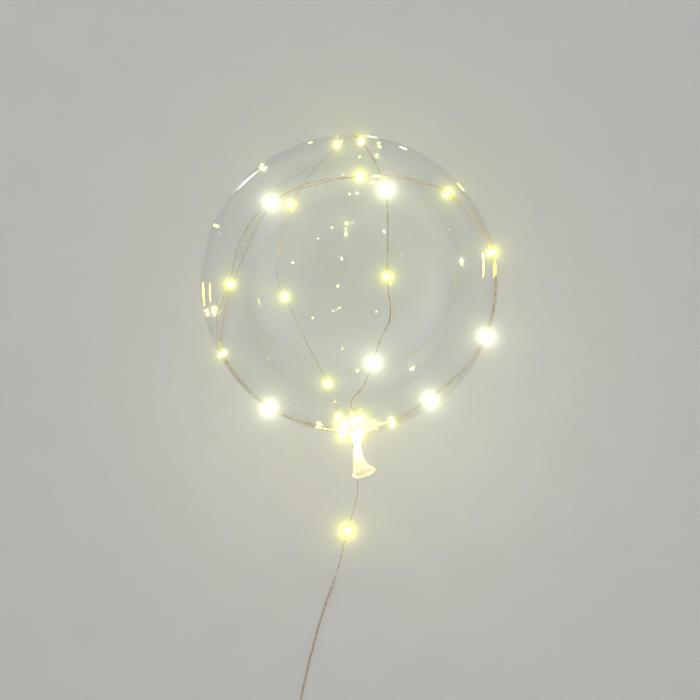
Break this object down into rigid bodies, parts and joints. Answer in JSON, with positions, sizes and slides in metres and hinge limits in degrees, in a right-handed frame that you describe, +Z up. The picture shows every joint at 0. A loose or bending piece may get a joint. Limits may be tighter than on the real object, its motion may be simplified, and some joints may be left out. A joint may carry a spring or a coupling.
{
  "type": "clear bubble balloon",
  "caption": "Clear round film balloon lying on its side, neck gathered in pleats, wound with a lit wire light string whose free lead runs to a small battery box.",
  "frame": {"origin": "middle of the small flat spot under the bubble, on the surface that the balloon lies on, straight below the bubble's centre", "axes": "+Z up from the surface, -Y along the neck from the bubble's centre to the tail, +X across the neck"},
  "size_m": [0.3192, 0.7217, 0.3177],
  "materials": {
    "clear_film": "thin clear glossy film",
    "enamelled_copper": "lacquered copper wire",
    "lit_resin": "clear resin drop, lit from inside",
    "white_plastic": "fine moulded texture",
    "grey_silicone": "matt"
  },
  "bodies": {
    "root": {"balloon": "clear_film", "light_wire": "enamelled_copper", "front_light_01": "lit_resin", "front_light_02": "lit_resin", "front_light_03": "lit_resin", "front_light_04": "lit_resin", "front_light_05": "lit_resin", "front_light_06": "lit_resin", "front_light_07": "lit_resin", "front_light_08": "lit_resin", "front_light_09": "lit_resin", "front_light_10": "lit_resin", "crown_light_01": "lit_resin", "crown_light_02": "lit_resin", "crown_light_03": "lit_resin", "crown_light_04": "lit_resin", "crown_light_05": "lit_resin", "crown_light_06": "lit_resin", "crown_light_07": "lit_resin", "crown_light_08": "lit_resin", "crown_light_09": "lit_resin", "crown_light_10": "lit_resin", "neck_light_01": "lit_resin", "neck_light_02": "lit_resin", "lead_wire": "enamelled_copper", "lead_light": "lit_resin", "battery_case": "white_plastic", "battery_cover": "white_plastic", "button_pad": "grey_silicone", "cord_grommet": "grey_silicone"}
  },
  "joints": []
}
